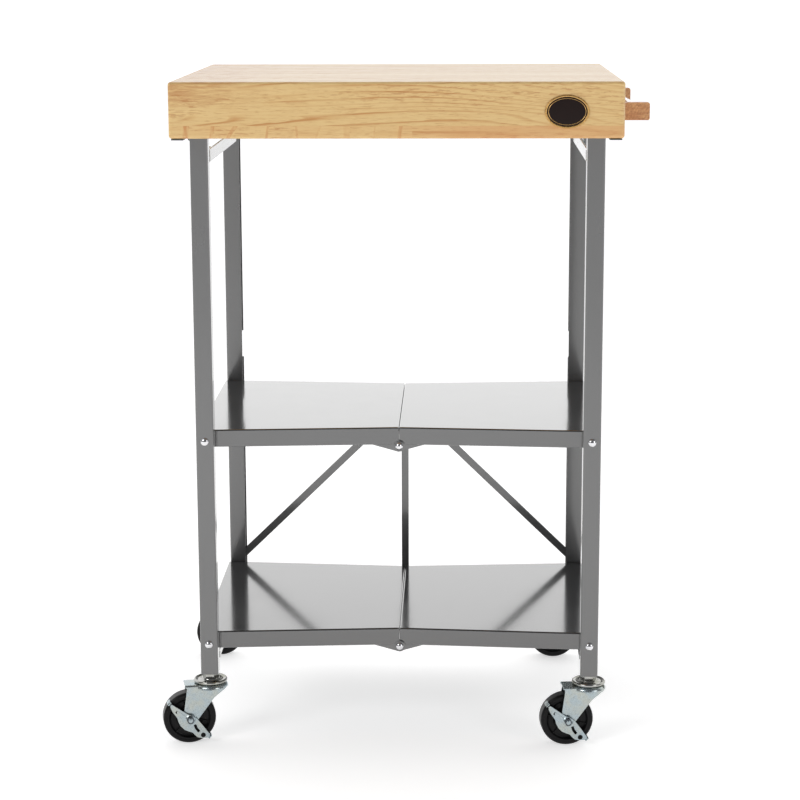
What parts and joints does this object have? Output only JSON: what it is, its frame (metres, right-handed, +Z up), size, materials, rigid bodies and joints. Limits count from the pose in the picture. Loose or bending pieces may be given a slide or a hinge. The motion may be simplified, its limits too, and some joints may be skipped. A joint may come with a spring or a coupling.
{
  "type": "butcher block table",
  "caption": "Folding kitchen cart with a thick butcher block top, hinged steel shelves, square legs, swivel casters and a side towel bar.",
  "frame": {"origin": "on the floor, under the middle of the whole cart with the towel bar and casters", "axes": "+Z up, +X to the towel bar side, the side with the plaque and the brake levers faces -Y"},
  "size_m": [0.6892, 0.5278, 0.95],
  "materials": {
    "honey_wood": "satin lacquered rubberwood, staves with visible grain",
    "brown_wood": "satin stained hardwood",
    "grey_paint": "mid grey semi-gloss powder coat",
    "shelf_paint": "glossy silver-grey enamel",
    "chrome": "polished chrome plate",
    "zinc": "bright zinc plate",
    "black_rubber": "hard black rubber",
    "plaque": "dark brown enamel with a gold rim"
  },
  "bodies": {
    "frame_left": {"leg_front_left": "grey_paint", "leg_rear_left": "grey_paint", "rail_top_left": "grey_paint", "rail_bottom_left": "grey_paint", "hinge_bracket_front": "zinc", "hinge_bracket_rear": "zinc", "bolt_mid_front_left": "chrome", "bolt_mid_rear_left": "chrome", "bolt_low_front_left": "chrome", "bolt_low_rear_left": "chrome", "brace_rivet_left": "chrome", "caster_cup_front_left": "chrome", "caster_cup_rear_left": "chrome"},
    "frame_right": {"leg_front_right": "grey_paint", "leg_rear_right": "grey_paint", "rail_top_right": "grey_paint", "rail_bottom_right": "grey_paint", "rest_bracket": "zinc", "bolt_mid_front_right": "chrome", "bolt_mid_rear_right": "chrome", "bolt_low_front_right": "chrome", "bolt_low_rear_right": "chrome", "brace_rivet_right": "chrome", "caster_cup_front_right": "chrome", "caster_cup_rear_right": "chrome"},
    "mid_left": {"shelf_mid_left": "shelf_paint", "centre_pin_mid_front": "chrome", "centre_pin_mid_rear": "chrome"},
    "mid_right": {"shelf_mid_right": "shelf_paint"},
    "low_left": {"shelf_low_left": "shelf_paint", "centre_pin_low_front": "chrome", "centre_pin_low_rear": "chrome"},
    "low_right": {"shelf_low_right": "shelf_paint"},
    "link": {"link_bar": "grey_paint"},
    "slider": {"brace_slider": "zinc"},
    "brace_left_body": {"brace_left": "grey_paint"},
    "brace_right_body": {"brace_right": "grey_paint"},
    "top": {"slab_upper": "honey_wood", "slab_lower": "honey_wood", "plaque": "plaque", "towel_block_front": "brown_wood", "towel_block_rear": "brown_wood", "towel_rod": "chrome", "hinge_strap": "grey_paint", "rest_strap": "grey_paint"},
    "fork_front_left": {"caster_fork_front_left": "zinc", "caster_axle_front_left": "zinc"},
    "wheel_front_left": {"caster_wheel_front_left": "black_rubber"},
    "brake_front_left": {"brake_lever_front_left": "zinc"},
    "fork_front_right": {"caster_fork_front_right": "zinc", "caster_axle_front_right": "zinc"},
    "wheel_front_right": {"caster_wheel_front_right": "black_rubber"},
    "brake_front_right": {"brake_lever_front_right": "zinc"},
    "fork_rear_left": {"caster_fork_rear_left": "zinc", "caster_axle_rear_left": "zinc"},
    "wheel_rear_left": {"caster_wheel_rear_left": "black_rubber"},
    "fork_rear_right": {"caster_fork_rear_right": "zinc", "caster_axle_rear_right": "zinc"},
    "wheel_rear_right": {"caster_wheel_rear_right": "black_rubber"}
  },
  "joints": [
    {"name": "fold", "type": "hinge", "parent": "frame_left", "child": "mid_left", "pos_m": [-0.27438, 0.00095, 0.445], "axis": [0, -1, 0], "range_deg": [0, 78]},
    {"name": "mid_seam", "type": "hinge", "parent": "mid_left", "child": "mid_right", "pos_m": [-0.00188, 0.00095, 0.429], "axis": [0, -1, 0], "range_deg": [-156, 0]},
    {"name": "right_pivot", "type": "hinge", "parent": "mid_right", "child": "frame_right", "pos_m": [0.27062, 0.00095, 0.445], "axis": [0, -1, 0], "range_deg": [0, 78]},
    {"name": "low_left_pivot", "type": "hinge", "parent": "frame_left", "child": "low_left", "pos_m": [-0.27438, 0.00095, 0.147], "axis": [0, -1, 0], "range_deg": [0, 78]},
    {"name": "low_seam", "type": "hinge", "parent": "low_left", "child": "low_right", "pos_m": [-0.00188, 0.00095, 0.131], "axis": [0, -1, 0], "range_deg": [-156, 0]},
    {"name": "link_pivot", "type": "hinge", "parent": "mid_left", "child": "link", "pos_m": [-0.00188, 0.17445, 0.429], "axis": [0, -1, 0], "range_deg": [-78, 0]},
    {"name": "slider_run", "type": "slide", "parent": "link", "child": "slider", "axis": [0, 0, 1], "range_m": [-0.173, 0]},
    {"name": "brace_left_pivot", "type": "hinge", "parent": "frame_left", "child": "brace_left_body", "pos_m": [-0.26788, 0.19545, 0.166], "axis": [0, -1, 0], "range_deg": [0, 35.7]},
    {"name": "brace_right_pivot", "type": "hinge", "parent": "frame_right", "child": "brace_right_body", "pos_m": [0.26412, 0.19885, 0.166], "axis": [0, -1, 0], "range_deg": [-35.7, 0]},
    {"name": "top_lift", "type": "hinge", "parent": "frame_left", "child": "top", "pos_m": [-0.28988, 0.00095, 0.8683], "axis": [0, -1, 0], "range_deg": [0, 90]},
    {"name": "swivel_front_left", "type": "hinge", "parent": "frame_left", "child": "fork_front_left", "pos_m": [-0.27438, -0.20055, 0.0887], "axis": [0, 0, 1], "continuous": true},
    {"name": "roll_front_left", "type": "hinge", "parent": "fork_front_left", "child": "wheel_front_left", "pos_m": [-0.30568, -0.2072, 0.038], "axis": [-0.2079, 0.9781, 0], "continuous": true},
    {"name": "brake_front_left", "type": "hinge", "parent": "fork_front_left", "child": "brake_front_left", "pos_m": [-0.30568, -0.2072, 0.038], "axis": [0.2079, -0.9781, 0], "range_deg": [0, 12]},
    {"name": "swivel_front_right", "type": "hinge", "parent": "frame_right", "child": "fork_front_right", "pos_m": [0.27062, -0.20055, 0.0887], "axis": [0, 0, 1], "continuous": true},
    {"name": "roll_front_right", "type": "hinge", "parent": "fork_front_right", "child": "wheel_front_right", "pos_m": [0.23886, -0.20445, 0.038], "axis": [-0.1219, 0.9925, 0], "continuous": true},
    {"name": "brake_front_right", "type": "hinge", "parent": "fork_front_right", "child": "brake_front_right", "pos_m": [0.23886, -0.20445, 0.038], "axis": [0.1219, -0.9925, 0], "range_deg": [0, 12]},
    {"name": "swivel_rear_left", "type": "hinge", "parent": "frame_left", "child": "fork_rear_left", "pos_m": [-0.27238, 0.20245, 0.0887], "axis": [0, 0, 1], "continuous": true},
    {"name": "roll_rear_left", "type": "hinge", "parent": "fork_rear_left", "child": "wheel_rear_left", "pos_m": [-0.30438, 0.20245, 0.038], "axis": [0, 1, 0], "continuous": true},
    {"name": "swivel_rear_right", "type": "hinge", "parent": "frame_right", "child": "fork_rear_right", "pos_m": [0.26862, 0.20245, 0.0887], "axis": [0, 0, 1], "continuous": true},
    {"name": "roll_rear_right", "type": "hinge", "parent": "fork_rear_right", "child": "wheel_rear_right", "pos_m": [0.23662, 0.20245, 0.038], "axis": [0, 1, 0], "continuous": true}
  ],
  "couplings": [
    {"joint": "mid_seam", "follows": "fold", "ratio": -2},
    {"joint": "right_pivot", "follows": "fold", "ratio": 1},
    {"joint": "low_left_pivot", "follows": "fold", "ratio": 1},
    {"joint": "low_seam", "follows": "fold", "ratio": -2},
    {"joint": "link_pivot", "follows": "fold", "ratio": -1},
    {"joint": "slider_run", "follows": "fold", "m_per_rad": -0.12673},
    {"joint": "brace_left_pivot", "follows": "fold", "ratio": 0.457},
    {"joint": "brace_right_pivot", "follows": "fold", "ratio": -0.457}
  ]
}
